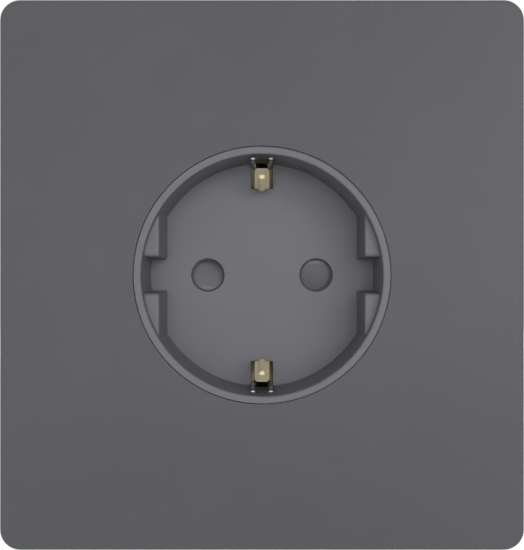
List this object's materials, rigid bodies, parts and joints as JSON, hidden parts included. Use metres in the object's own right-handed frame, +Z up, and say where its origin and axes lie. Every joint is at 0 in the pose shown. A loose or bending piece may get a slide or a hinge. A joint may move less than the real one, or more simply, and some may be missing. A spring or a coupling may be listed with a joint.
{
  "type": "type f wall socket",
  "caption": "Flush wall socket outlet with a square cover plate, a round recess with side earth clips and a rotary child-protection shutter behind the pin holes.",
  "frame": {"origin": "on the axis of the round recess, at the face of the wall that the support ring lies on", "axes": "+Z up, -Y out of the wall towards the room, +Y into the wall box, +X to the right as seen from the room"},
  "size_m": [0.085, 0.0419, 0.0892],
  "materials": {
    "plate_plastic": "glossy moulded, anthracite",
    "insert_plastic": "satin gloss moulded, anthracite",
    "shutter_plastic": "satin moulded, dark grey",
    "inner_plastic": "matt moulded, pale grey",
    "button_plastic": "satin moulded, orange",
    "galvanised_steel": "galvanised, satin",
    "spring_steel": "bright rolled",
    "rivet_steel": "bright plated",
    "screw_steel": "yellow-plated",
    "brass": "satin rolled brass"
  },
  "bodies": {
    "socket": {"cover_plate": "plate_plastic", "socket_well": "insert_plastic", "shutter_spring": "spring_steel", "contact_cover": "inner_plastic", "base_housing": "inner_plastic", "support_ring": "galvanised_steel", "earth_bracket": "brass", "earth_rivets": "rivet_steel", "live_contact": "brass", "neutral_contact": "brass", "live_over_spring": "spring_steel", "neutral_over_spring": "spring_steel", "live_clamp_spring": "spring_steel", "neutral_clamp_spring": "spring_steel", "earth_clamp_spring": "spring_steel", "assembly_screws": "screw_steel"},
    "shutter": {"shutter_rotor": "shutter_plastic"},
    "live_button": {"live_release_button": "button_plastic"},
    "neutral_button": {"neutral_release_button": "button_plastic"},
    "earth_button": {"earth_release_button": "button_plastic"}
  },
  "joints": [
    {"name": "shutter_turn", "type": "hinge", "parent": "socket", "child": "shutter", "pos_m": [0, 0, 0], "axis": [0, -1, 0], "range_deg": [0, 35], "stiffness_Nm_per_rad": 0.001, "springref_deg": -11.46, "deforming": ["shutter_spring"]},
    {"name": "live_button_press", "type": "slide", "parent": "socket", "child": "live_button", "axis": [0, -1, 0], "range_m": [0, 0.0015], "stiffness_N_per_m": 400, "springref_m": -0.0002, "deforming": ["live_clamp_spring"]},
    {"name": "neutral_button_press", "type": "slide", "parent": "socket", "child": "neutral_button", "axis": [0, -1, 0], "range_m": [0, 0.0015], "stiffness_N_per_m": 400, "springref_m": -0.0002, "deforming": ["neutral_clamp_spring"]},
    {"name": "earth_button_press", "type": "slide", "parent": "socket", "child": "earth_button", "axis": [0, -1, 0], "range_m": [0, 0.0015], "stiffness_N_per_m": 400, "springref_m": -0.0002, "deforming": ["earth_clamp_spring"]}
  ]
}
